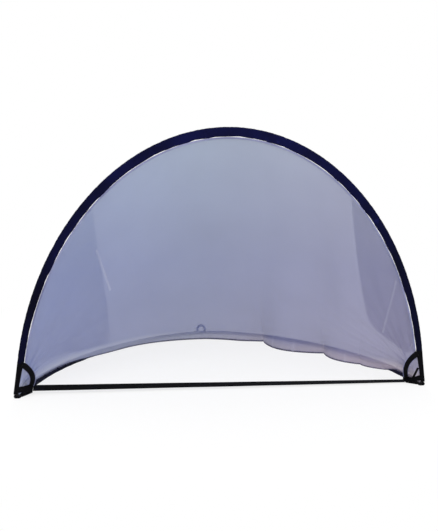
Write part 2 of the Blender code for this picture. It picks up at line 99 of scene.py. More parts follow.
def half_loop(rise, power, sway, count=4001):
    """x = w sgn(cos t)|cos t|^(2/p) + sway y/rise and y = rise |sin t|^(2/p) for t from 0 to pi, evenly
    spaced, smoothed by a raised-cosine window, with the corners flared outward."""
    t = np.linspace(0, math.pi, 6001)
    c, s = np.cos(t), np.sin(t)
    y = rise * np.abs(s) ** (2 / power)
    x = (HALF_W - CORNER_FLARE) * np.sign(c) * np.abs(c) ** (2 / power) + sway * y / rise
    raw = np.stack([x, y], 1)
    arc = running(raw)
    at = np.linspace(0, arc[-1], count)
    pts = np.stack([np.interp(at, arc, raw[:, k]) for k in (0, 1)], 1)
    reach = int(SMOOTH_ARC / 2 / (at[1] - at[0]))
    kernel = np.hanning(2 * reach + 1)
    kernel /= kernel.sum()
    padded = np.concatenate([2 * pts[0] - pts[reach:0:-1], pts, 2 * pts[-1] - pts[-2:-reach - 2:-1]])
    pts = np.stack([np.convolve(padded[:, k], kernel, "valid") for k in (0, 1)], 1)
    arc = running(pts)
    slope = np.gradient(pts, arc, axis=0)
    out = np.stack([slope[:, 1], -slope[:, 0]], 1)
    near = np.minimum(arc, arc[-1] - arc)
    level = np.clip(1 - near / LEVEL_ARC, 0, 1)[:, None]
    out = out * (1 - level) + level * np.array([1.0, 0.0]) * np.sign(pts[:, :1])
    out /= np.linalg.norm(out, axis=1, keepdims=True)
    pts[:, 0] += np.sign(pts[:, 0]) * CORNER_FLARE * np.clip(1 - near / CORNER_ARC, 0, 1) ** 2
    return pts, running(pts), out


class Hoop:
    """One half of the hoop in its own plane: 0 is the +X corner, length is the -X corner."""

    def __init__(self, curve, origin, second):
        self.pts, self.arc, self.out = curve
        self.length = self.arc[-1]
        self.origin, self.second = np.array(origin), np.array(second)
        self.front = np.cross([1.0, 0.0, 0.0], self.second)

    def place(self, arc, u, v):
        """The outer edge at that length, moved u outward and v towards the plane's front."""
        arc, u, v = np.broadcast_arrays(np.asarray(arc, float), u, v)
        pts = np.stack([np.interp(arc, self.arc, self.pts[:, k]) for k in (0, 1)], -1)
        out = np.stack([np.interp(arc, self.arc, self.out[:, k]) for k in (0, 1)], -1)
        beyond = np.minimum(arc, 0) + np.minimum(self.length - arc, 0)
        flat = pts + out * u[..., None]
        return (self.origin + flat[..., :1] * np.array([1.0, 0.0, 0.0])
                + (flat[..., 1:] + beyond[..., None]) * self.second + v[..., None] * self.front)


ARCH = Hoop(half_loop(ARCH_H, ARCH_POWER, ARCH_SWAY), (0, AXIS_Y, AXIS_Z),
            (0, math.sin(ARCH_LEAN), math.cos(ARCH_LEAN)))
BOW = Hoop(half_loop(BOW_D, BOW_POWER, BOW_SWAY), (0, AXIS_Y, 0), (0, 1, 0))
print(f"arch {ARCH.length:.3f} m, bow {BOW.length:.3f} m of wire")
print("arch top differs from the solid by",
      round(float(ARCH.place(ARCH.arc, 0, 0)[:, 2].max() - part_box("arch_sleeve")[1].z), 4))


# %% [markdown]
# ## From a grid of points to a mesh
#
# Every new piece is a surface with two parameters, worked out as one array of points. This helper
# turns such an array into a mesh, joins the last column to the first where the piece is a tube,
# closes the ends, and writes the two parameters as a UV map in metres, so that a weave keeps its
# real size along a curve.

# %% Grid meshes
def grid_quads(rows, cols, wrap):
    r, c = np.meshgrid(np.arange(rows - 1), np.arange(cols if wrap else cols - 1), indexing="ij")
    d = (c + 1) % cols
    return np.stack([r * cols + c, r * cols + d, (r + 1) * cols + d, (r + 1) * cols + c], -1).reshape(-1, 4)


def grid_uv(rows, cols, wrap, along, across):
    """UV of each corner of each quad: across runs with the columns, along with the rows."""
    r, c = np.meshgrid(np.arange(rows - 1), np.arange(cols if wrap else cols - 1), indexing="ij")
    along = np.broadcast_to(along, (rows, cols + 1) if wrap else (rows, cols))
    across = np.broadcast_to(across, along.shape)
    corners = [(r, c), (r, c + 1), (r + 1, c + 1), (r + 1, c)]
    return np.stack([np.stack([along[i, j], across[i, j]], -1) for i, j in corners], 2).reshape(-1, 4, 2)


def new_mesh(name, verts, faces, uvs, marks=None):
    """A mesh from points, a list of face arrays and the UV of every face corner, facing outward."""
    verts = np.asarray(verts, float)
    volume = 0.0
    for f in faces:
        for k in range(1, f.shape[1] - 1):
            a, b, c = verts[f[:, 0]], verts[f[:, k]], verts[f[:, k + 1]]
            volume += np.einsum("ij,ij->i", a, np.cross(b, c)).sum()
    if volume < 0:
        faces = [f[:, ::-1] for f in faces]
        uvs = [u[:, ::-1] for u in uvs]
    mesh = bpy.data.meshes.new(name)
    mesh.from_pydata(verts.tolist(), [], [row for f in faces for row in f.tolist()])
    layer = mesh.uv_layers.new(name="UVMap")
    layer.data.foreach_set("uv", np.concatenate([u.reshape(-1, 2) for u in uvs]).astype(np.float32).ravel())
    for mark, values in (marks or {}).items():
        attribute = mesh.attributes.new(mark, "FLOAT", "POINT")
        attribute.data.foreach_set("value", np.asarray(values, np.float32).ravel())
    mesh.shade_smooth()
    return mesh


def tube_mesh(name, rings, along, across):
    """A closed body from rings of points: the two ends are closed by a fan to their middle."""
    rows, cols = rings.shape[:2]
    verts = np.concatenate([rings.reshape(-1, 3), rings[:1].mean(1), rings[-1:].mean(1)])
    k = np.arange(cols)
    n = (k + 1) % cols
    start, stop = rows * cols, rows * cols + 1
    last = (rows - 1) * cols
    fans = [np.stack([n, k, np.full(cols, start)], 1), np.stack([last + k, last + n, np.full(cols, stop)], 1)]
    return new_mesh(name, verts, [grid_quads(rows, cols, True), *fans],
                    [grid_uv(rows, cols, True, along, across)] + [np.zeros((cols, 3, 2))] * 2)


def surface_normal(points):
    normal = np.cross(np.gradient(points, axis=0), np.gradient(points, axis=1))
    return normal / np.maximum(np.linalg.norm(normal, axis=2, keepdims=True), 1e-12)


def cloth_mesh(name, middle, thickness, along, across, marks=None):
    """Two skins half a thickness each side of the middle surface, joined round their rim."""
    rows, cols = middle.shape[:2]
    half = surface_normal(middle) * thickness / 2
    verts = np.concatenate([(middle + half).reshape(-1, 3), (middle - half).reshape(-1, 3)])
    count = rows * cols
    quads = grid_quads(rows, cols, False)
    uv = grid_uv(rows, cols, False, along, across)
    index = np.arange(count).reshape(rows, cols)
    rim = np.concatenate([index[0, :-1], index[:-1, -1], index[-1, :0:-1], index[:0:-1, 0]])
    nxt = np.roll(rim, -1)
    flat = np.stack([np.broadcast_to(along, (rows, cols)), np.broadcast_to(across, (rows, cols))], -1).reshape(-1, 2)
    side = np.stack([rim, rim + count, nxt + count, nxt], 1)
    both = {k: np.tile(np.asarray(v).ravel(), 2) for k, v in (marks or {}).items()}
    return new_mesh(name, verts, [quads, quads[:, ::-1] + count, side],
                    [uv, uv[:, ::-1], np.stack([flat[rim], flat[rim], flat[nxt], flat[nxt]], 1)], both)


def add_piece(name, mesh, material, body, slot, *nodes):
    """The mesh as an object that rides on a body and stands for its solid nodes."""
    piece = bpy.data.objects.new(name, mesh)
    bpy.context.scene.collection.objects.link(piece)
    mesh.materials.append(material)
    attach(piece, body)
    if nodes:
        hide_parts(*nodes)
    print(f"{name}: {len(mesh.vertices)} points")
    return piece


def waves(x, periods, seed):
    """Sum of sines with the given periods and fixed random phases, between about -1 and 1."""
    phase = np.random.default_rng(seed).uniform(0, 2 * math.pi, len(periods))
    return sum(np.sin(2 * math.pi * x / p + a) for p, a in zip(periods, phase)) / len(periods) ** 0.5


def smooth_step(x):
    x = np.clip(x, 0, 1)
    return x * x * (3 - 2 * x)


# %% [markdown]
# ## Fabric finishes
#
# All the cloth here is polyester, woven in three ways: a light plain weave for the sleeves, a coated
# one for the corners, and a ribbed webbing for the straps. Each finish is built from the same few
# parts: a weave that follows the UV map, a slow change of shade that follows the place on the
# object, and a bump from both. The colours are written as they look, and turned into the linear
# values that the shader needs.

# %% Finish helpers
def linear(*colour):
    """Linear red, green and blue of a colour given from 0 to 255."""
    c = np.array(colour) / 255
    return tuple(np.where(c <= 0.04045, c / 12.92, ((c + 0.055) / 1.055) ** 2.4)) + (1.0,)


class Finish:
    """A Principled material and short ways to add nodes to it."""

    def __init__(self, name, **sockets):
        self.material = bpy.data.materials.new(name)
        self.material.use_nodes = True
        self.nodes, self.links = self.material.node_tree.nodes, self.material.node_tree.links
        self.shader = self.nodes["Principled BSDF"]
        for socket, value in sockets.items():
            self.shader.inputs[socket.replace("_", " ")].default_value = value
        self.bumps = None

    def node(self, kind, links=(), **settings):
        node = self.nodes.new(kind)
        for key, value in settings.items():
            if key in node.inputs:
                node.inputs[key].default_value = value
            else:
                setattr(node, key, value)
        for socket, source in dict(links).items():
            self.links.new(source, node.inputs[socket])
        return node

    def place(self, scale=(1, 1, 1), turn=0.0, uv=False):
        """Object or UV coordinates through a Mapping node."""
        source = self.node("ShaderNodeTexCoord").outputs["UV" if uv else "Object"]
        return self.node("ShaderNodeMapping", {"Vector": source}, Scale=scale, Rotation=(0, 0, turn)).outputs[0]

    def noise(self, scale, detail=3.0, rough=0.5, uv=False, stretch=(1, 1, 1)):
        return self.node("ShaderNodeTexNoise", {"Vector": self.place(stretch, uv=uv)},
                         Scale=scale, Detail=detail, Roughness=rough).outputs["Fac"]

    def bands(self, period, direction, turn=0.0):
        """Sine bands across the UV map, one every period metres."""
        return self.node("ShaderNodeTexWave", {"Vector": self.place(turn=turn, uv=True)}, wave_type="BANDS",
                         bands_direction=direction, Scale=math.pi / 10 / period * 2).outputs["Fac"]

    def math(self, operation, a, b):
        node = self.node("ShaderNodeMath", operation=operation)
        for k, value in enumerate((a, b)):
            if isinstance(value, (int, float)):
                node.inputs[k].default_value = value
            else:
                self.links.new(value, node.inputs[k])
        return node.outputs[0]

    def ramp(self, factor, *stops):
        """Colour ramp from (position, colour) stops."""
        node = self.node("ShaderNodeValToRGB", {"Fac": factor})
        ramp = node.color_ramp
        while len(ramp.elements) < len(stops):
            ramp.elements.new(0.5)
        for element, (position, colour) in zip(ramp.elements, stops):
            element.position = position
            element.color = colour
        return node.outputs["Color"]

    def mix(self, factor, a, b, blend="MIX"):
        node = self.node("ShaderNodeMix", data_type="RGBA", blend_type=blend)
        for socket, value in (("Factor", factor), ("A", a), ("B", b)):
            slot = [i for i in node.inputs if i.name == socket and i.type in ("RGBA", "VALUE")][-1 if socket != "Factor" else 0]
            if isinstance(value, (int, float, tuple)):
                slot.default_value = value
            else:
                self.links.new(value, slot)
        return [o for o in node.outputs if o.type == "RGBA"][0]

    def colour(self, source):
        self.links.new(source, self.shader.inputs["Base Color"])

    def rough(self, factor, low, high):
        ranged = self.node("ShaderNodeMapRange", {"Value": factor})
        ranged.inputs["To Min"].default_value, ranged.inputs["To Max"].default_value = low, high
        self.links.new(ranged.outputs[0], self.shader.inputs["Roughness"])

    def bump(self, height, distance, strength=1.0):
        """Adds one more height to the bump; distance is the relief in metres."""
        node = self.node("ShaderNodeBump", {"Height": height}, Distance=distance, Strength=strength)
        if self.bumps is not None:
            self.links.new(self.bumps, node.inputs["Normal"])
        self.bumps = node.outputs["Normal"]
        self.links.new(self.bumps, self.shader.inputs["Normal"])


def woven(name, dark, light, thread, roughness, sheen, relief=0.00012, wear=None, painted_height_shade=False):
    """Plain weave: warp and weft bands, worn and faded by slow noise, and if asked, painted shade by height: darker
    low down, a little lighter at the top.
    """
    f = Finish(name, Sheen_Weight=sheen, Sheen_Roughness=0.4, Specular_IOR_Level=0.05)
    weave = f.math("MULTIPLY", f.bands(thread, "X"), f.bands(thread, "Y"))
    fade = f.noise(9.0, 4.0)
    shade = f.ramp(fade, (0.3, dark), (0.7, light))
    fine = f.ramp(f.noise(260.0, 2.0), (0.3, (0.82, 0.82, 0.82, 1)), (0.8, (1, 1, 1, 1)))
    shade = f.mix(1.0, shade, fine, "MULTIPLY")
    if wear:
        rubbed = f.ramp(f.noise(38.0, 5.0, 0.65), (0.60, (0, 0, 0, 1)), (0.74, (1, 1, 1, 1)))
        shade = f.mix(rubbed, shade, wear)
    if painted_height_shade:
        # Painted shade: darker low down and a little lighter at the top, as light falls from above.
        height = f.node("ShaderNodeSeparateXYZ", {"Vector": f.place()}).outputs["Z"]
        shade = f.mix(1.0, shade, f.ramp(height, (0.25, (0.38, 0.40, 0.48, 1)), (0.72, (1.05, 1.05, 1.05, 1))), "MULTIPLY")
    f.colour(shade)
    f.rough(fade, roughness - 0.08, roughness + 0.08)
    f.bump(weave, relief, 0.6)
    f.bump(f.noise(55.0, 3.0), 0.0006, 0.35)
    return f.material


# %% The four fabrics and the steel
# The sleeve cloth carries painted shade by height, so the ground sleeve lying on the floor is darkened all along.
navy = woven("navy_sleeve_cloth", linear(4, 5, 34), linear(10, 13, 60), 0.0011, 0.50, 0.0,
             wear=linear(20, 24, 78), painted_height_shade=True)
corner = woven("black_corner_cloth", linear(3, 3, 6), linear(8, 8, 13), 0.0014, 0.62, 0.03)
tape_cloth = woven("edge_tape_cloth", linear(112, 115, 150), linear(146, 149, 184), 0.0009, 0.75, 0.0)
thread = woven("navy_thread", linear(12, 13, 40), linear(24, 26, 62), 0.0006, 0.55, 0.1)


def ribbed(name, dark, light):
    """Webbing: ribs across the strap, small chevrons inside each rib, slow random fading."""
    f = Finish(name, Sheen_Weight=0.03, Sheen_Roughness=0.5, Specular_IOR_Level=0.05)
    ribs = f.bands(0.0024, "X")
    twill = f.math("MULTIPLY", f.bands(0.0013, "DIAGONAL"), ribs)
    shade = f.ramp(ribs, (0.1, dark), (0.9, light))
    fade = f.noise(14.0, 4.0)
    f.colour(f.mix(1.0, shade, f.ramp(fade, (0.3, (0.7, 0.7, 0.7, 1)), (0.7, (1, 1, 1, 1))), "MULTIPLY"))
    f.rough(fade, 0.6, 0.8)
    f.bump(ribs, 0.0003, 0.8)
    f.bump(twill, 0.00015, 0.6)
    return f.material


webbing = ribbed("black_webbing", linear(3, 3, 5), linear(12, 12, 16))


def steel(name):
    """Drawn spring wire: fine lines along it in its colour, roughness and bump."""
    f = Finish(name, Metallic=1.0)
    lines = f.noise(60.0, 4.0, 0.6, stretch=(1, 1, 14))
    f.colour(f.ramp(lines, (0.3, linear(120, 121, 126)), (0.7, linear(160, 160, 163))))
    f.rough(lines, 0.25, 0.45)
    f.bump(lines, 0.00005, 0.5)
    return f.material


wire = steel("spring_steel")
for node in ("arch_wire", "ground_wire_left", "ground_wire_right", "wire_ferrule"):
    frame["nodes"][node].data.materials.clear()
    frame["nodes"][node].data.materials.append(wire)

# %% [markdown]
# ## The sleeves
#
# A strip of thin polyester is folded round the wire and sewn along its inner edge, with the net's
# edge caught in the seam. The net pulls at the stitches, so the cloth puckers: short wrinkles that
# are strongest at the seam and fade over the roll. A swept teardrop gives the shape, and sums of
# sines with fixed phases give puckers that never repeat. Simulated cloth would cost minutes for the
# same look on such a thin roll.


# %% Sleeve shape
def teardrop(share, width, radius=SLEEVE_R, hem=HEM_T):
    """Section for share in 0..1 round the sleeve: a circle of the wire's roll from -125 to 125 degrees,
    then straight to a flat hem. Returns u outward, v across and the distance from the hem, 0..1."""
    turn = math.radians(125)
    a = (np.clip(share / 0.62, 0, 1) * 2 - 1) * turn
    u = -radius + radius * np.cos(a)
    v = radius * np.sin(a)
    back = np.clip((share - 0.62) / 0.38, 0, 1)
    down = np.clip(back / 0.46, 0, 1)
    up = np.clip((back - 0.54) / 0.46, 0, 1)
    edge_u, edge_v = -radius + radius * math.cos(turn), radius * math.sin(turn)
    slim = hem / 2 + (edge_v - hem / 2) * (1 - down) ** 1.6
    slim_up = hem / 2 + (edge_v - hem / 2) * up ** 1.6
    inner = np.where(back < 0.5, edge_u + (-width - edge_u) * down, -width + (edge_u + width) * up)
    level = np.where(back < 0.46, slim, np.where(back > 0.54, -slim_up, hem / 2 * np.cos((back - 0.46) / 0.08 * math.pi)))
    on_roll = share <= 0.62
    return np.where(on_roll, u, inner), np.where(on_roll, v, level), np.where(on_roll, 1.0, np.abs(back - 0.5) * 2)


def arch_width(arc):
    return 0.019 + 0.010 * np.sin(math.pi * np.clip(arc / ARCH.length, 0, 1)) ** 1.2


def creases(arc, length, seed, count):
    """Sharp dips at random lengths, each a few millimetres wide: exp(-|distance| / width)."""
    rng = np.random.default_rng(seed)
    at = rng.uniform(0.06, length - 0.06, count)
    wide = rng.uniform(0.002, 0.006, count)
    deep = rng.uniform(0.3, 1.0, count)
    return (deep * np.exp(-np.abs(arc[..., None] - at) / wide)).sum(-1)


def sleeve_rings(hoop, width, base_v, flat, seed, rows=720, cols=36):
    """Rings of the sleeve with puckers that grow towards the hem."""
    arc = np.linspace(CORNER_ARC - 0.006, hoop.length - CORNER_ARC + 0.006, rows)[:, None]
    share = (np.arange(cols) / cols)[None, :]
    gather = waves(arc, (0.011, 0.017, 0.027, 0.043), seed)
    slack = waves(arc, (0.07, 0.13, 0.29), seed + 1)
    fold = creases(arc, hoop.length, seed + 2, 46)
    w = width(arc) + 0.0007 * slack - 0.0006 * np.abs(np.sin(math.pi * arc / 0.062)) - 0.0010 * fold
    u, v, high = teardrop(share, w, radius=SLEEVE_R * (1 + 0.05 * slack))
    near_hem = (1 - high) ** 0.7
    v = v + 0.00055 * gather * near_hem
    middle = np.where(v > 0, 1, -1) * (0.00075 * np.abs(gather) * high * near_hem * 4)
    v = v + middle
    u = u - 0.0005 * fold * high - 0.0002 * gather * high * (share < 0.62)
    if flat:
        v = np.maximum(v, -SLEEVE_R)
        v = np.where(high < 1, np.maximum(v - (SLEEVE_R - HEM_T / 2) * smooth_step(1 - high), -SLEEVE_R), v)
    rings = hoop.place(arc, u, base_v + v)
    round_length = 2 * width(hoop.length / 2) + 0.012
    return rings, arc, np.linspace(0, float(round_length), cols + 1)[None, :]


arch_sleeve = add_piece("arch_sleeve_cloth", tube_mesh("arch_sleeve_cloth", *sleeve_rings(
    ARCH, arch_width, 0.0, False, 11)), navy, "front_arch", "navy_sleeve", "arch_sleeve")
bow_sleeve = add_piece("ground_sleeve_cloth", tube_mesh("ground_sleeve_cloth", *sleeve_rings(
    BOW, lambda arc: BOW_SLEEVE_W + 0 * arc, SLEEVE_R, True, 23)), navy, "ground_bow", "navy_sleeve", "ground_sleeve")

# %% [markdown]
# ## Corner pieces
#
# Each corner is a stiff little pocket of coated cloth on the ground half and a cuff on the arch half.
# They fold against each other about the corner, so they stay separate. The section is the sleeve's
# teardrop with a wider hem, and the free end closes to a rounded nose.


# %% Corner rings
def corner_rings(hoop, side, width, height, hem, nose, seed, rows=64, cols=36):
    """Rings from the nose to the sleeve; the nose shrinks as the root of one less its square."""
    lead = -nose * np.cos(np.linspace(0, math.pi / 2, 12))[:-1] * 0.985
    arc = np.concatenate([lead, np.linspace(0, CORNER_ARC, rows - 11)])[:, None]
    share = (np.arange(cols) / cols)[None, :]
    run = np.clip(arc, 0, CORNER_ARC)
    w = width(run)
    u, v, high = teardrop(share, w, hem=hem)
    v = v + 0.00035 * waves(arc, (0.009, 0.014, 0.023), seed) * (1 - high)
    shrink = np.sqrt(np.clip(1 - np.clip(-arc / nose, 0, 1) ** 2, 0, 1))
    if height:
        v = np.where(high < 1, np.maximum(v - (SLEEVE_R - hem / 2) * smooth_step(1 - high), -SLEEVE_R), v)
        middle = -w / 2
        u = middle + (u - middle) * (0.35 + 0.65 * shrink)
        v = (height + v) * shrink
    else:
        v = v * shrink
    place = arc if side == "right" else hoop.length - arc
    rings = hoop.place(place, u, v)
    return rings, np.broadcast_to(arc, (len(arc), 1)), np.linspace(0, 0.06, cols + 1)[None, :]


def cuff_width(arc):
    return 0.012 + 0.006 * arc / CORNER_ARC


def pocket_width(arc):
    return 0.020 + 0.004 * arc / CORNER_ARC


for k, side in enumerate(("right", "left")):
    add_piece(f"arch_cuff_cloth_{side}", tube_mesh(f"arch_cuff_cloth_{side}", *corner_rings(
        ARCH, side, cuff_width, 0.0, 2 * HEM_T, SLEEVE_R, 31 + k)), corner, "front_arch",
        "corner_fabric", f"arch_cuff_{side}")
    add_piece(f"corner_pocket_cloth_{side}", tube_mesh(f"corner_pocket_cloth_{side}", *corner_rings(
        BOW, side, pocket_width, SLEEVE_R, HEM_T, 0.008, 41 + k)), corner, "ground_bow",
        "corner_fabric", f"corner_pocket_{side}")

# %% [markdown]
# ## Webbing
#
# The base strap is one length of polypropylene webbing pulled flat across the mouth. It stands on
# edge at one corner and twists flat towards the other, which is what a strap does when its two ends
# are sewn at different angles. The section is a rounded ribbon, and each end has a box of stitches.


# %% Ribbons
def ribbon_rings(centres, across, widths, thickness, cols=20, sag=0.0):
    """A flat oval carried along a path: width times cos, thickness times sin of a squared-off angle."""
    run = np.gradient(centres, axis=0)
    run /= np.linalg.norm(run, axis=1, keepdims=True)
    across = across - run * np.sum(across * run, axis=1, keepdims=True)
    across /= np.linalg.norm(across, axis=1, keepdims=True)
    through = np.cross(across, run)
    a = np.linspace(0, 2 * math.pi, cols, endpoint=False)
    c = np.sign(np.cos(a)) * np.abs(np.cos(a)) ** 0.45
    s = np.sign(np.sin(a)) * np.abs(np.sin(a)) ** 0.45
    return (centres[:, None] + across[:, None] * (np.asarray(widths)[:, None] / 2 * c)[..., None]
            + through[:, None] * (thickness / 2 * s + sag * (1 - c ** 2))[None, :, None])


def ribbon(name, centres, across, widths, thickness, body, *nodes):
    rings = ribbon_rings(centres, across, widths, thickness)
    arc = running(centres)[:, None]
    mesh = tube_mesh(name, rings, arc, np.linspace(0, 2 * float(np.max(widths)), rings.shape[1] + 1)[None, :])
    return add_piece(name, mesh, webbing, body, "black_webbing", *nodes)


STRAP_W, STRAP_T, STRAP_Y = 0.022, 0.0016, 0.035
STRAP_Z, STRAP_TILT = (0.017, 0.0040), (34.0, 6.0)
strap_low, strap_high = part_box("base_strap")
strap_end = (strap_high.x - strap_low.x) / 2


def strap_state(x):
    """Middle height and tilt of the strap at x."""
    f = np.clip((x / strap_end + 1) / 2, 0, 1)
    return STRAP_Z[0] + (STRAP_Z[1] - STRAP_Z[0]) * f, np.radians(STRAP_TILT[0] + (STRAP_TILT[1] - STRAP_TILT[0]) * f)


xs = np.linspace(-strap_end, strap_end, 240)
z, tilt = strap_state(xs)
slack = 0.0004 * waves(xs, (0.21, 0.33, 0.57), 5)
strap = ribbon("base_strap_webbing",
               np.stack([xs, AXIS_Y + STRAP_Y + slack, z], 1),
               np.stack([0 * xs, np.cos(tilt), np.sin(tilt)], 1),
               STRAP_W + 0 * xs, STRAP_T, "ground_bow", "base_strap")


# %% Corner webbing: gusset patches, arcs and the closing tie
GUSSET_T, ARC_T = 0.0016, 0.0016
half_outer = 0.600
gusset_x = half_outer - 0.050

for side, sign in (("left", -1), ("right", 1)):
    near = np.array([0.004, CORNER_ARC - 0.008])
    arcs = near if sign > 0 else BOW.length - near
    root = BOW.place(arcs, -pocket_width(near) - 0.00095, GUSSET_T / 2 + GAP)
    z, tilt = strap_state(sign * strap_end)
    reach = np.array([0.0, math.cos(tilt), math.sin(tilt)]) * STRAP_W * (0.78 if sign < 0 else 0.60)
    tip = np.array([sign * gusset_x, AXIS_Y + STRAP_Y, z])
    inner = np.array([tip - reach, tip + reach])
    f = np.linspace(0, 1, 30)[:, None, None]
    g = np.linspace(0, 1, 30)[None, :, None]
    rows = root + (inner - root) * f
    grid = rows[:, :1] * (1 - g) + rows[:, 1:] * g
    spread = np.linalg.norm(inner[0] - root[0])
    grid[..., 2] += (0.018 if sign < 0 else 0.012) * g[..., 0] * np.sqrt(4 * f[..., 0] * (1 - f[..., 0]))
    add_piece(f"corner_gusset_cloth_{side}", cloth_mesh(
        f"corner_gusset_cloth_{side}", grid, GUSSET_T, np.linspace(0, spread, 30)[:, None],
        np.linspace(0, 0.08, 30)[None, :]), corner, "ground_bow", "corner_fabric", f"corner_gusset_{side}")

    # the gusset's front layer, from the foot of the cuff to the strap's end
    low_a = np.linspace(0.001, 0.017, 24)
    foot_edge = ARCH.place(low_a if sign > 0 else ARCH.length - low_a, -cuff_width(low_a) + 0.0025, 0.0034)
    strap_edge = inner[0] + (inner[1] - inner[0]) * np.linspace(0.1, 1, 24)[:, None]
    share = np.linspace(0, 1, 30)[None, :, None]
    front = foot_edge[:, None] * (1 - share) + strap_edge[:, None] * share
    front[..., 1] -= 0.0020 * np.sin(math.pi * share[..., 0])
    layer = add_piece(f"corner_front_cloth_{side}", cloth_mesh(
        f"corner_front_cloth_{side}", front, GUSSET_T, low_a[:, None], 0.05 * share[0, :, 0][None, :]),
        corner, "ground_bow", "corner_fabric")
    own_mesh(layer)

    start_arc = CORNER_ARC - 0.008
    at = start_arc if sign > 0 else ARCH.length - start_arc
    start = ARCH.place(at, -cuff_width(start_arc) + 0.0010, 0.0038)
    end = np.array([sign * (gusset_x + 0.009), AXIS_Y + STRAP_Y + 0.004, 0.0160 if sign < 0 else 0.0060])
    middle = np.array([sign * (half_outer - 0.068), AXIS_Y + 0.016, 0.062])
    f = np.linspace(0, 1, 60)[:, None]
    path = start * (1 - f) ** 2 + middle * 2 * f * (1 - f) + end * f ** 2
    run = np.gradient(path, axis=0)
    across = np.cross(run, [0.0, 1.0, 0.0])
    piece = ribbon(f"corner_arc_webbing_{side}", path, across, 0.018 - 0.006 * f[:, 0], ARC_T,
                   "ground_bow", f"corner_arc_{side}")
    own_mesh(piece)
    # pale piping along both edges of the arc
    run /= np.linalg.norm(run, axis=1, keepdims=True)
    across /= np.linalg.norm(across, axis=1, keepdims=True)
    for edge, way in (("inner", -1), ("outer", 1)):
        rim = path + way * across * (0.0097 - 0.003 * f)
        rim = rim[8:-6]
        rings = ribbon_rings(rim, across[8:-6], 0.0016 + 0 * rim[:, 0], 0.0014, cols=10)
        piping = add_piece(f"corner_piping_{edge}_{side}", tube_mesh(
            f"corner_piping_{edge}_{side}", rings, running(rim)[:, None], np.linspace(0, 0.005, 11)[None, :]),
            tape_cloth, "ground_bow", "edge_tape")
        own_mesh(piping)

start = ARCH.place(0.052 - AXIS_Z, -cuff_width(0.052 - AXIS_Z) - 0.0035 - GAP, HEM_T)
end = np.array([gusset_x + 0.017, AXIS_Y + STRAP_Y - 0.010, 0.0042])
f = np.linspace(0, 1, 40)[:, None]
path = start * (1 - f) ** 2 + ((start + end) / 2 + [-0.001, -0.004, 0]) * 2 * f * (1 - f) + end * f ** 2
tie = ribbon("closing_tie_webbing", path, np.cross(np.gradient(path, axis=0), [0.0, 1.0, 0.0]),
             0.007 + 0 * f[:, 0], ARC_T, "ground_bow", "closing_tie")
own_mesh(tie)

# %% [markdown]
# ## Rear peg loop
#
# A ground peg goes through this loop at the back. The solid's outline is right, so it keeps its
# solid and only gets the webbing finish.

# %% Peg loop finish
# The solid has no UV map, so the ribs are read from the object's own place.
def loop_finish(name):
    f = Finish(name, Sheen_Weight=0.2, Specular_IOR_Level=0.35)
    ribs = f.node("ShaderNodeTexWave", {"Vector": f.place()}, wave_type="RINGS", rings_direction="Y",
                  Scale=math.pi / 10 / 0.0012).outputs["Fac"]
    f.colour(f.ramp(ribs, (0.1, linear(6, 6, 9)), (0.9, linear(18, 18, 23))))
    f.rough(f.noise(30.0), 0.6, 0.8)
    f.bump(ribs, 0.0003, 0.8)
    return f.material


loop = frame["nodes"]["rear_peg_loop"]
loop.data.materials.clear()
loop.data.materials.append(loop_finish("peg_loop_webbing"))

# %% [markdown]
# ## The net
#
# The net is a fine polyester mesh, so fine that it looks like a thin grey cloth. It is sewn to the
# arch's edge tape and to the inside of the ground sleeve, and sags between them. At the back it lies
# on the ground inside the bow. The same threads as in the solid run from arch to bow, spaced by the
# same drift, but on a finer grid and with the folds that pulled cloth shows: they start at the two
# corners, where the cloth has to turn, and fan out and die away.


# %% Net surface
NET_T = 0.0010
NET_FLOOR_STRIP = 0.012
BAG_CUSPS = ((0.088, 0.000), (0.135, 0.040), (0.226, 0.043), (0.366, 0.048), (0.620, 0.000))
BAG_SWELL = (0.016, 0.036, 0.075, 0.070)
NET_DRIFT = ((0.0, 0.0), (0.285, 0.150), (0.62, 0.60), (1.0, 1.0))


def bag_depth(fraction):
    """How far the net spreads on the floor inside the bow: scallops between tacked cusps."""
    spots, depths = np.array(BAG_CUSPS).T
    depth = np.interp(fraction, spots, depths)
    for k, swell in enumerate(BAG_SWELL):
        s = np.clip((fraction - spots[k]) / (spots[k + 1] - spots[k]), 0, 1)
        depth = depth + swell * np.sin(math.pi * s) ** 0.75
    depth = np.maximum(depth, NET_FLOOR_STRIP)
    kernel = np.hanning(2 * (len(depth) // 9) + 1)
    padded = np.pad(depth, len(kernel) // 2, mode="edge")
    even = np.convolve(padded, kernel / kernel.sum(), "valid")
    taut = smooth_step((fraction - 0.385) / 0.05)
    return depth * (1 - taut) + even * taut


def drift(fraction):
    """Where the thread that starts at this fraction of the arch meets the bow, smoothed."""
    f = np.linspace(-1, 2, 3001)
    spots, goals = np.array(NET_DRIFT).T
    inner = np.interp(np.clip(f, 0, 1), spots, goals)
    wide = np.where(f < 0, -np.interp(-f, spots, goals), inner)
    wide = np.where(f > 1, 2 - np.interp(2 - f, spots, goals), wide)
    kernel = np.hanning(151)
    return np.interp(fraction, f, np.convolve(wide, kernel / kernel.sum(), "same"))


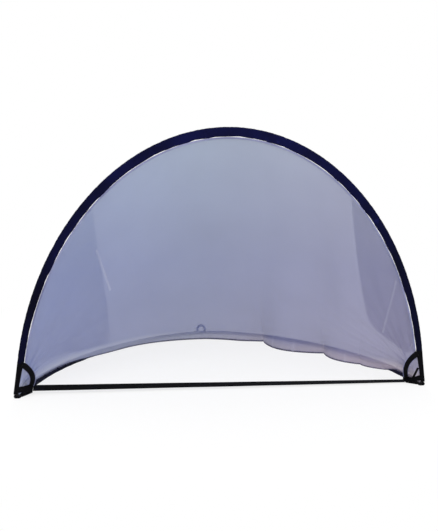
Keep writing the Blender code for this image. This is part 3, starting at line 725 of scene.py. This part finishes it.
def net_grid(cols=520, rows=150, floor_rows=26, folds=True):
    """Rows run from the arch down to the floor and back to the bow; columns run from +X to -X."""
    a = np.linspace(0.006, ARCH.length - 0.006, cols)
    b = np.maximum(drift(a / ARCH.length) * BOW.length, a * 0.45)
    a_near, b_near = np.minimum(a, ARCH.length - a), np.minimum(b, BOW.length - b)
    blend = smooth_step((a_near - CORNER_ARC + 0.02) / 0.02)
    edge = cuff_width(np.minimum(a_near, CORNER_ARC)) * (1 - blend) + (arch_width(a) + TAPE_W + GAP) * blend
    top = ARCH.place(a, -edge + 0.0030, -0.0033 * (1 - blend) - 0.0018 * blend)
    over = np.clip((b_near - CORNER_ARC * 2 / 3) / (CORNER_ARC / 3), 0, 1)
    loose = np.clip((b_near - CORNER_ARC) / (CORNER_ARC / 2), 0, 1)[:, None]
    hem = (pocket_width(np.minimum(b_near, CORNER_ARC)) - 0.003) * (1 - over) + (BOW_SLEEVE_W + 0.0012) * over
    back = BOW.place(b, -hem, 0.0055 + (HEM_T / 2 - 0.0055) * loose[:, 0])
    rise = (top - back) / np.linalg.norm(top - back, axis=1, keepdims=True)
    flat = BOW.place(b, -hem - bag_depth(b / BOW.length), NET_T / 2 + GAP)
    touch = (back + rise * NET_FLOOR_STRIP / 2) * (1 - loose) + flat * loose
    foot = np.maximum(smooth_step((b / BOW.length - 0.70) / 0.16), smooth_step((0.094 - b / BOW.length) / 0.022))[:, None]
    shown = BOW.place(b, -0.0135, 2 * SLEEVE_R - 0.0012)
    touch = touch * (1 - foot) + shown * foot
    back = back * (1 - foot) + (shown - [0, 0, 0.0015]) * foot
    wide = 2 * int(cols * 0.045) + 1
    kernel = np.hanning(wide) / np.hanning(wide).sum()
    even = np.stack([np.convolve(np.pad(touch[:, k], wide // 2, mode="reflect", reflect_type="odd"), kernel, "valid")
                     for k in range(3)], 1)
    s = np.linspace(0, 1, rows)[:, None, None]
    slack = 0.010 + 0.020 * (1 + top[:, 0] / 0.6) / 2
    slack = slack * np.linalg.norm(touch - top, axis=1) / 0.796
    low = smooth_step((s - 0.70) / 0.30)
    fall = top + (even - top) * s + (touch - even) * low
    fall[:, :, 2] -= slack * (4 * s * (1 - s))[:, :, 0]
    r = np.linspace(0, 1, floor_rows + 1)[1:, None, None]
    grid = np.concatenate([fall, touch + (back - touch) * r])
    return grid, a, b


def fold_heights(grid, a, rows):
    """Height of the pull folds: sines of the angle seen from each corner, fading with distance,
    and low slow waves over the rest; nothing at the sewn edges."""
    s = np.concatenate([np.linspace(0, 1, rows), np.ones(len(grid) - rows)])[:, None]
    frac = (a / ARCH.length)[None, :]
    edge = np.sin(math.pi * np.clip(s, 0, 1)) ** 0.6
    height = 0.0016 * waves(frac * 3.2 + 0.35 * s, (0.21, 0.34, 0.55), 71) * edge
    for sign, seed, power in ((1, 81, 1.0), (-1, 91, 0.8)):
        corner_at = np.array([sign * 0.585, AXIS_Y + 0.02, 0.03])
        away = grid - corner_at
        far = np.linalg.norm(away, axis=2)
        angle = np.arctan2(away[..., 2], -sign * away[..., 0])
        fan = waves(angle, (0.115, 0.19, 0.31), seed)
        height = height + power * 0.0050 * fan * np.exp(-far / 0.16) * smooth_step(far / 0.10) * edge
    run = waves(s * 1.7 + 0 * frac, (0.31, 0.52), 61) * 0.0006 * edge
    return height + run


# Each pulled fold is a line of points on the cloth; pleats are where the hem was gathered, given as
# shares of the arch.
FOLD_LINES = (
    ((0.518, -0.352, 0.307), (0.515, -0.312, 0.225), (0.510, -0.264, 0.133)),
    ((0.546, -0.350, 0.192), (0.540, -0.330, 0.150), (0.537, -0.293, 0.092)),
    ((0.568, -0.366, 0.115), (0.555, -0.329, 0.079), (0.542, -0.292, 0.041)),
    ((-0.367, -0.234, 0.397), (-0.349, -0.162, 0.327), (-0.331, -0.084, 0.253)),
    ((-0.565, -0.344, 0.059), (-0.526, -0.237, 0.092), (-0.477, -0.178, 0.121)),
    ((-0.566, -0.335, 0.045), (-0.515, -0.190, 0.055)),
)
PLEATS = (0.284, 0.340, 0.375, 0.413)


def near_line(points, line):
    """Distance from each point to the nearest part of a line of straight pieces."""
    best = np.full(points.shape[:2], 1e9)
    for a, b in zip(np.array(line[:-1]), np.array(line[1:])):
        run = b - a
        share = np.clip((points - a) @ run / (run @ run), 0, 1)
        best = np.minimum(best, np.linalg.norm(points - a - share[..., None] * run, axis=2))
    return best


ROWS = 150
net_points, net_a, net_b = net_grid(rows=ROWS)
fold_mark = sum(np.exp(-(near_line(net_points, line) / 0.0028) ** 2) for line in FOLD_LINES)
low_rows = smooth_step((np.arange(len(net_points)) / (ROWS - 1) - 0.90) / 0.06)[:, None]
for share in PLEATS:
    fold_mark = fold_mark + 0.6 * low_rows * np.exp(-((net_a[None, :] - share * ARCH.length) / 0.0040) ** 2)
fold_mark = np.clip(fold_mark, 0, 1)
normal = surface_normal(net_points)
outward = np.sign(np.sum((net_points - [0.0, AXIS_Y, 0.18]) * normal))
raised = fold_heights(net_points, net_a, ROWS) - 0.0024 * fold_mark
net_points = net_points + normal * outward * raised[..., None]
net_points[..., 2] = np.maximum(net_points[..., 2], NET_T / 2 + GAP)


# %% [markdown]
# ## Net finish
#
# The real cloth is a knit of fine threads with tiny holes, seen from a distance as one soft blue
# grey. So it is slightly see-through, lets some light pass from behind, and has a fine weave in its
# bump. Light and shade are also painted into its colour by height: paler near the top, as if lit
# through, darker lower down, and much paler on the strip that lies on the floor, to lift its shadow.
# A dark line along its lower edge is painted shade, the contact shadow where it bends to the floor.

# %% Net material
def net_finish(name, double_layer_shade=1.0, holes=0.36):
    f = Finish(name, Roughness=0.85, Specular_IOR_Level=0.10)
    place = f.node("ShaderNodeSeparateXYZ", {"Vector": f.place()})
    height = f.node("ShaderNodeMapRange", {"Value": place.outputs["Z"]})
    height.inputs["From Max"].default_value = 0.75
    # Painted light and shade by height: paler at the top as if lit through, darker in the middle, and much paler on
    # the floor strip to lift the shadow there; the layer factor darkens it all as painted shade on the side layers.
    low, mid, high = (tuple(v * double_layer_shade for v in c) + (1,) for c in (
        (0.33, 0.355, 0.60), (0.30, 0.34, 0.585), (0.378, 0.44, 0.628)))
    hem = tuple(v * double_layer_shade for v in (0.56, 0.56, 0.72)) + (1,)
    shade = f.ramp(height.outputs[0], (0.025, hem), (0.06, low), (0.45, mid), (0.95, high))
    across = f.node("ShaderNodeMapRange", {"Value": place.outputs["X"]})
    across.inputs["From Min"].default_value, across.inputs["From Max"].default_value = -0.55, 0.55
    shade = f.mix(1.0, shade, f.ramp(across.outputs[0], (0.0, (0.90, 0.97, 1.0, 1)), (0.45, (0.88, 0.91, 0.86, 1)),
                                     (1.0, (0.96, 0.85, 0.79, 1))), "MULTIPLY")
    cloudy = f.ramp(f.noise(3.2, 4.0), (0.3, (0.90, 0.90, 0.92, 1)), (0.7, (1, 1, 1, 1)))
    shade = f.mix(1.0, shade, cloudy, "MULTIPLY")
    knit = f.math("MULTIPLY", f.bands(0.0016, "X"), f.bands(0.0016, "Y"))
    shade = f.mix(1.0, shade, f.ramp(knit, (0.1, (0.93, 0.93, 0.93, 1)), (0.9, (1, 1, 1, 1))), "MULTIPLY")
    # Painted shade: a dark line along the net's lower edge, the contact shadow where it bends onto the floor; on the
    # side layers the same mark is a real seam line.
    mark = f.node("ShaderNodeAttribute", attribute_name="edge_line").outputs["Fac"]
    shade = f.mix(mark, shade, linear(74, 72, 110))
    # Painted highlight: paler along the pulled folds and pleats where their ridges catch the light, partly also the
    # denser doubled cloth there.
    fold = f.node("ShaderNodeAttribute", attribute_name="fold_line").outputs["Fac"]
    shade = f.mix(fold, shade, linear(214, 214, 232))
    f.colour(shade)
    f.bump(knit, 0.00015, 0.35)
    f.bump(f.noise(160.0, 3.0), 0.0002, 0.3)
    through = f.node("ShaderNodeBsdfTranslucent", {"Color": shade, "Normal": f.bumps})
    both = f.node("ShaderNodeMixShader")
    both.inputs[0].default_value = 0.35
    f.links.new(f.shader.outputs[0], both.inputs[1])
    f.links.new(through.outputs[0], both.inputs[2])
    hole = f.node("ShaderNodeBsdfTransparent")
    open_mesh = f.node("ShaderNodeMixShader")
    open_mesh.inputs[0].default_value = holes
    f.links.new(both.outputs[0], open_mesh.inputs[1])
    f.links.new(hole.outputs[0], open_mesh.inputs[2])
    f.links.new(open_mesh.outputs[0], f.nodes["Material Output"].inputs["Surface"])
    return f.material


net_cloth = net_finish("net_mesh_cloth")
rows, cols = net_points.shape[:2]
# Painted shade on the rows where the net bends onto the floor.
edge_shade_mark = np.zeros((rows, cols))
edge_shade_mark[ROWS - 2:ROWS + 1] = 1.0
along = np.concatenate([[0], np.cumsum(np.linalg.norm(np.diff(net_points, axis=0), axis=2).mean(1))])
net = add_piece("net_cloth", cloth_mesh("net_cloth", net_points, NET_T, along[:, None], net_a[None, :],
                                        {"edge_line": edge_shade_mark, "fold_line": 0.32 * fold_mark}), net_cloth, "ground_bow", "net_mesh", "net")
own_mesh(net)

# %% Outer layers at the sides
# Two more pieces of the same cloth are sewn over the net at the sides. Each reaches from the arch
# down to a sewn seam, whose place is given as (share of the arch, share of the net's height).
RIGHT_SEAM = ((0.035, 0.20), (0.066, 0.36), (0.095, 0.60), (0.118, 0.66), (0.141, 0.67), (0.198, 0.645),
              (0.233, 0.604), (0.250, 0.497), (0.269, 0.295), (0.281, 0.148), (0.288, 0.03))
LEFT_SEAM = ((0.722, 0.62), (0.727, 0.86), (0.735, 0.92), (0.80, 0.90), (0.88, 0.80), (0.955, 0.50))


def outer_layer(seam, lift, cols=150, rows=110):
    """The net's own surface, read between its grid points, from row 0 to the seam and lifted outward."""
    share, depth = np.array(seam).T
    f = np.linspace(share[0], share[-1], cols)
    end = np.interp(f, share, depth)
    row = (0.012 + (end - 0.012) * np.linspace(0, 1, rows)[:, None]) * (ROWS - 1)
    col = np.broadcast_to(np.interp(f * ARCH.length, net_a, np.arange(len(net_a))), row.shape)
    r, c = row.astype(int), col.astype(int)
    fr, fc = (row - r)[..., None], (col - c)[..., None]
    part = ((net_points[r, c] * (1 - fr) + net_points[r + 1, c] * fr) * (1 - fc)
            + (net_points[r, c + 1] * (1 - fr) + net_points[r + 1, c + 1] * fr) * fc)
    normal = surface_normal(part)
    out = np.sign(np.sum((part - [0.0, AXIS_Y, 0.18]) * normal))
    wave = 0.0004 * waves(f, (0.017, 0.031), 66)[None, :]
    return part + normal * out * (lift + wave)[..., None], f * ARCH.length


# The side layers are darkened as painted shade, for the light that the doubled cloth holds back, the right one more.
for side, seam, double_layer_shade in (("right", RIGHT_SEAM, 0.86), ("left", LEFT_SEAM, 0.97)):
    layer, across = outer_layer(seam, 0.0019)
    down = np.concatenate([[0], np.cumsum(np.linalg.norm(np.diff(layer, axis=0), axis=2).mean(1))])
    sewn = np.zeros(layer.shape[:2])
    sewn[-2:] = 0.30
    panel = add_piece(f"net_panel_cloth_{side}", cloth_mesh(
        f"net_panel_cloth_{side}", layer, 0.0008, down[:, None], across[None, :], {"edge_line": sewn}),
        net_finish(f"net_layer_{side}", double_layer_shade, 0.72 if side == "right" else 0.86), "ground_bow", "net_mesh",
        f"net_panel_{side}")
    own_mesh(panel)

# %% [markdown]
# ## Edge tape
#
# A pale tape covers the raw edge of the net inside the arch. It follows the sleeve's inner edge.

# %% Tape
tape_arc = np.linspace(CORNER_ARC + GAP, ARCH.length - CORNER_ARC - GAP, 700)
tape_rings = []
mid_u = -arch_width(tape_arc) - GAP - TAPE_W / 2
turn = np.linspace(0, 2 * math.pi, 16, endpoint=False)
oval_u = TAPE_W / 2 * np.sign(np.cos(turn)) * np.abs(np.cos(turn)) ** 0.6
oval_v = 0.4 * HEM_T * np.sin(turn)
tape_rings = ARCH.place(tape_arc[:, None], mid_u[:, None] + oval_u[None, :],
                        oval_v[None, :] * (1 + 0.12 * waves(tape_arc, (0.006, 0.011), 3)[:, None]))
add_piece("net_edge_tape_cloth", tube_mesh("net_edge_tape_cloth", tape_rings, tape_arc[:, None],
                                           np.linspace(0, 0.012, 17)[None, :]),
          tape_cloth, "front_arch", "edge_tape", "net_edge_tape")

# %% [markdown]
# ## Stitching
#
# A row of stitches runs just inside each sleeve's hem, and a box of stitches holds each end of the
# base strap. Each stitch is a short capsule of a few faces, turned along its seam, and one row is
# one mesh.


# %% Stitch rows
def stitch_row(name, starts, ends_, lift, thick, body, slot, material):
    """Capsules between paired points: a hexagon ring at five stations, thick in the middle."""
    run = ends_ - starts
    length = np.linalg.norm(run, axis=1, keepdims=True)
    run /= length
    side = np.cross(run, lift)
    side /= np.linalg.norm(side, axis=1, keepdims=True)
    up = np.cross(side, run)
    s = np.array([0.0, 0.15, 0.5, 0.85, 1.0])
    r = thick / 2 * np.array([0.15, 0.8, 1.0, 0.8, 0.15])
    a = np.arange(6) * math.pi / 3
    ring = (side[:, None, None] * np.cos(a)[None, None, :, None] + up[:, None, None] * np.sin(a)[None, None, :, None])
    centre = starts[:, None] + run[:, None] * (length * s[None, :])[..., None]
    pts = centre[:, :, None] + ring * r[None, :, None, None]
    count = len(starts)
    base = grid_quads(5, 6, True)
    quads = (base[None] + (np.arange(count) * 30)[:, None, None]).reshape(-1, 4)
    caps = np.concatenate([np.arange(6)[::-1][None] + (np.arange(count) * 30)[:, None],
                           np.arange(24, 30)[None] + (np.arange(count) * 30)[:, None]])
    mesh = new_mesh(name, pts.reshape(-1, 3), [quads, caps], [np.zeros((len(quads), 4, 2)), np.zeros((len(caps), 6, 2))])
    return add_piece(name, mesh, material, body, slot)


def seam_on(hoop, name, first, last, u, v, step, body, slot, material, front):
    arc = np.arange(first, last, step)
    starts = hoop.place(arc, u(arc), v)
    stops = hoop.place(arc + step * 0.72, u(arc + step * 0.72), v)
    return stitch_row(name, starts, stops, front, 0.0006, body, slot, material)


for k, sign in enumerate((1, -1)):
    seam_on(ARCH, f"arch_stitches_{k}", CORNER_ARC, ARCH.length - CORNER_ARC, lambda arc: -arch_width(arc) + 0.0030,
            sign * (HEM_T / 2 + 0.0002), 0.0034, "front_arch", "navy_sleeve", thread, ARCH.front)
seam_on(BOW, "ground_stitches", CORNER_ARC, BOW.length - CORNER_ARC, lambda arc: -BOW_SLEEVE_W + 0.0032 + 0 * arc,
        HEM_T + 0.0001, 0.0034, "ground_bow", "navy_sleeve", thread, BOW.front)

# %% Boxes of stitches on the base strap
# A box is four sides and a cross; each side is a row of short stitches on the strap's upper face.
for k, sign in enumerate((-1, 1)):
    far, close, half = sign * (strap_end - 0.005), sign * (strap_end - 0.030), 0.0080
    corners = [(far, -half), (far, half), (close, half), (close, -half)]
    sides = [(corners[i], corners[(i + 1) % 4]) for i in range(4)] + [(corners[0], corners[2]), (corners[1], corners[3])]
    begin, finish = [], []
    for (x0, w0), (x1, w1) in sides:
        count = max(3, round(math.hypot(x1 - x0, w1 - w0) / 0.0030))
        for part, shift in ((begin, 0.12), (finish, 0.82)):
            share = (np.arange(count) + shift) / count
            x, w = x0 + (x1 - x0) * share, w0 + (w1 - w0) * share
            z, tilt = strap_state(x)
            lift = STRAP_T / 2 + 0.0001
            part.append(np.stack([x, AXIS_Y + STRAP_Y + w * np.cos(tilt) - lift * np.sin(tilt),
                                  z + w * np.sin(tilt) + lift * np.cos(tilt)], 1))
    stitch_row(f"strap_stitches_{k}", np.concatenate(begin), np.concatenate(finish), np.array([0.0, 0.0, 1.0]),
               0.0006, "ground_bow", "black_webbing", thread)

# %% [markdown]
# ## Light, floor and camera
#
# The set is a plain white studio: a big soft light in front and above on the left, a weaker one on
# the right, one behind and above, and a floor that keeps the faint shadow. The camera stands in front
# at the mouth's height, a little to the left, with a lens of about 57 mm.

# %% Studio
def backdrop_material(name):
    """White paper that keeps its shadow near the object, and fades to plain white away from it."""
    material = bpy.data.materials.new(name)
    material.use_nodes = True
    nodes, links = material.node_tree.nodes, material.node_tree.links
    nodes.clear()
    paper = nodes.new("ShaderNodeBsdfDiffuse")
    paper.inputs["Color"].default_value = (0.90, 0.90, 0.90, 1)
    glow = nodes.new("ShaderNodeEmission")
    glow.inputs["Color"].default_value = (1, 1, 1, 1)
    glow.inputs["Strength"].default_value = 1.0
    place = nodes.new("ShaderNodeTexCoord")
    away = nodes.new("ShaderNodeVectorMath")
    away.operation = "LENGTH"
    links.new(place.outputs["Object"], away.inputs[0])
    fade = nodes.new("ShaderNodeMapRange")
    fade.interpolation_type = "SMOOTHSTEP"
    fade.inputs["From Min"].default_value = 0.55
    fade.inputs["From Max"].default_value = 1.25
    fade.inputs["To Min"].default_value = 0.76
    links.new(away.outputs["Value"], fade.inputs["Value"])
    ray = nodes.new("ShaderNodeLightPath")
    seen = nodes.new("ShaderNodeMath")
    seen.operation = "MULTIPLY"
    links.new(fade.outputs[0], seen.inputs[0])
    links.new(ray.outputs["Is Camera Ray"], seen.inputs[1])
    mix = nodes.new("ShaderNodeMixShader")
    links.new(seen.outputs[0], mix.inputs[0])
    links.new(paper.outputs[0], mix.inputs[1])
    links.new(glow.outputs[0], mix.inputs[2])
    out = nodes.new("ShaderNodeOutputMaterial")
    links.new(mix.outputs[0], out.inputs["Surface"])
    return material


def big_plane(name, corners, material):
    mesh = bpy.data.meshes.new(name)
    mesh.from_pydata(corners, [], [(0, 1, 2, 3)])
    mesh.materials.append(material)
    plane = bpy.data.objects.new(name, mesh)
    bpy.context.scene.collection.objects.link(plane)
    return plane


paper = backdrop_material("white_paper")
big_plane("floor", [(-9, -9, -0.0005), (9, -9, -0.0005), (9, 9, -0.0005), (-9, 9, -0.0005)], paper)

world = bpy.data.worlds.new("studio")
bpy.context.scene.world = world
world.use_nodes = True
wn, wl = world.node_tree.nodes, world.node_tree.links
sky = wn["Background"]
sky.inputs["Color"].default_value = (1, 1, 1, 1)
sky.inputs["Strength"].default_value = 0.80
white = wn.new("ShaderNodeBackground")
white.inputs["Color"].default_value = (1, 1, 1, 1)
white.inputs["Strength"].default_value = 1.0
pick = wn.new("ShaderNodeMixShader")
ray = wn.new("ShaderNodeLightPath")
wl.new(ray.outputs["Is Camera Ray"], pick.inputs[0])
wl.new(sky.outputs[0], pick.inputs[1])
wl.new(white.outputs[0], pick.inputs[2])
wl.new(pick.outputs[0], wn["World Output"].inputs["Surface"])


def area_light(name, place, aim, size, power):
    data = bpy.data.lights.new(name, "AREA")
    data.shape, data.size, data.energy = "DISK", size, power
    lamp = bpy.data.objects.new(name, data)
    bpy.context.scene.collection.objects.link(lamp)
    lamp.location = place
    direction = np.array(aim, float) - np.array(place, float)
    from mathutils import Vector
    lamp.rotation_euler = Vector(direction).to_track_quat("-Z", "Y").to_euler()


area_light("key", (-1.6, -2.6, 2.9), (0, 0, 0.3), 2.2, 55)
area_light("fill", (2.4, -1.8, 1.6), (0, 0, 0.3), 2.0, 18)
area_light("back", (0.3, 2.4, 2.6), (0, 0, 0.3), 2.2, 60)

camera = bpy.data.cameras.new("camera")
camera.lens, camera.sensor_width = 56.8, 36.0
eye = bpy.data.objects.new("camera", camera)
bpy.context.scene.collection.objects.link(eye)
target = np.array([-0.01686, AXIS_Y, 0.36803])
az, el, far = math.radians(-6.486), math.radians(7.639), 2.3808
eye.location = target + far * np.array([math.sin(az) * math.cos(el), -math.cos(az) * math.cos(el), math.sin(el)])
from mathutils import Vector
eye.rotation_euler = Vector(target - np.array(eye.location)).to_track_quat("-Z", "Y").to_euler()
bpy.context.scene.camera = eye
bpy.context.scene.view_settings.view_transform = "Standard"
